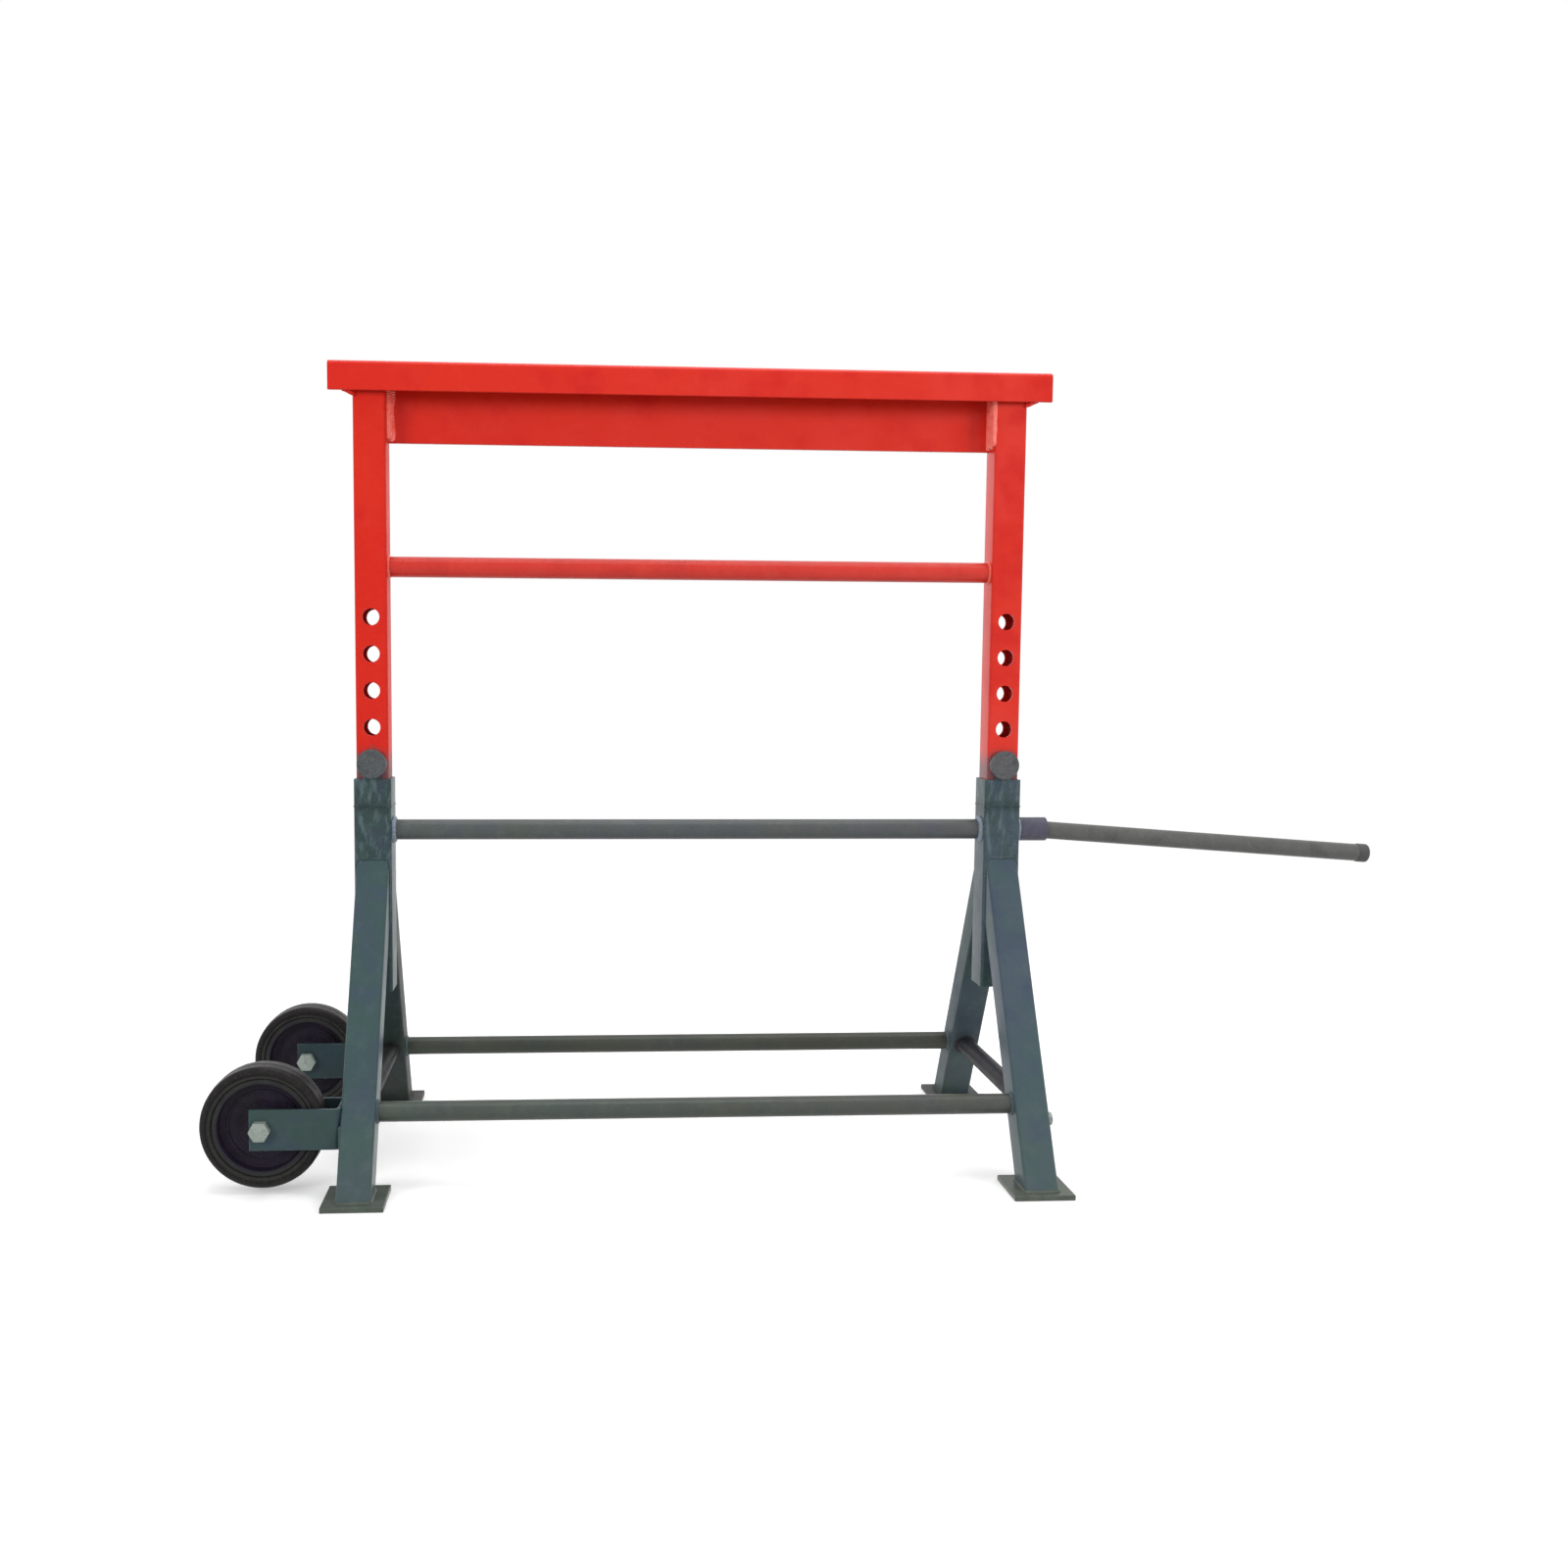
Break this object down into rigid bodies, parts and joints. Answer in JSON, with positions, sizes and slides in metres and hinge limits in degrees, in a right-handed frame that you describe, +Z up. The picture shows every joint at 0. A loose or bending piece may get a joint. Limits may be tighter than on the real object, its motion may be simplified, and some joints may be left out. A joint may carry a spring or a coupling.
{
  "type": "safety stand",
  "caption": "Height-adjustable wheeled safety stand: a red top beam on square posts that slide in an A-frame base, held by round-headed locking pins, with wheels and a pull bar.",
  "frame": {"origin": "on the floor, under the middle of the whole outline from the wheels to the end of the pull bar", "axes": "+X along the top beam, from the wheels towards the pull bar; +Y from the front, where the pin heads are, to the rear; +Z up"},
  "size_m": [1.8536, 0.566, 1.234],
  "materials": {
    "green_grey_paint": "satin grey-green enamel",
    "red_paint": "satin red enamel",
    "bar_grey_paint": "satin grey enamel, worn",
    "dark_pin_steel": "dark grey, worn",
    "zinc_plate": "dull zinc plating",
    "bush_steel": "turned, oiled",
    "tyre_rubber": "matt black rubber",
    "wheel_plastic": "black moulding",
    "cap_plastic": "grey moulding"
  },
  "bodies": {
    "base_frame": {"guide_tube_left": "green_grey_paint", "guide_tube_right": "green_grey_paint", "leg_front_left": "green_grey_paint", "leg_front_right": "green_grey_paint", "leg_rear_left": "green_grey_paint", "leg_rear_right": "green_grey_paint", "foot_plate_front_left": "green_grey_paint", "foot_plate_front_right": "green_grey_paint", "foot_plate_rear_left": "green_grey_paint", "foot_plate_rear_right": "green_grey_paint", "front_rail": "green_grey_paint", "rear_rail": "green_grey_paint", "side_rail_left": "green_grey_paint", "side_rail_right": "green_grey_paint", "crossbar": "green_grey_paint", "pull_bar_socket": "green_grey_paint", "leg_bolt": "zinc_plate", "wheel_fork_front": "green_grey_paint", "wheel_fork_rear": "green_grey_paint", "axle_bolts": "zinc_plate", "axle_washers": "zinc_plate", "axle_nuts": "zinc_plate"},
    "lift_frame": {"post_left": "red_paint", "post_right": "red_paint", "top_beam": "red_paint", "stiffener_plate": "red_paint", "post_tie": "red_paint"},
    "left_pin": {"locking_pin_left": "dark_pin_steel"},
    "right_pin": {"locking_pin_right": "dark_pin_steel"},
    "front_wheel": {"tyre_front": "tyre_rubber", "wheel_centre_front": "wheel_plastic", "wheel_bush_front": "bush_steel"},
    "rear_wheel": {"tyre_rear": "tyre_rubber", "wheel_centre_rear": "wheel_plastic", "wheel_bush_rear": "bush_steel"},
    "hand_bar": {"pull_bar": "bar_grey_paint", "pull_bar_cap": "cap_plastic"}
  },
  "joints": [
    {"name": "frame_lift", "type": "slide", "parent": "base_frame", "child": "lift_frame", "axis": [0, 0, 1], "range_m": [0, 0.171]},
    {"name": "left_pin_pull", "type": "slide", "parent": "lift_frame", "child": "left_pin", "axis": [0, -1, 0], "range_m": [0, 0.08]},
    {"name": "right_pin_pull", "type": "slide", "parent": "lift_frame", "child": "right_pin", "axis": [0, -1, 0], "range_m": [0, 0.08]},
    {"name": "front_wheel_spin", "type": "hinge", "parent": "base_frame", "child": "front_wheel", "pos_m": [-0.8358, -0.18396, 0.099], "axis": [0, 1, 0], "continuous": true},
    {"name": "rear_wheel_spin", "type": "hinge", "parent": "base_frame", "child": "rear_wheel", "pos_m": [-0.8358, 0.18396, 0.099], "axis": [0, 1, 0], "continuous": true},
    {"name": "bar_pull", "type": "slide", "parent": "base_frame", "child": "hand_bar", "axis": [0.9974, 0, -0.0722], "range_m": [0, 0.055]}
  ]
}
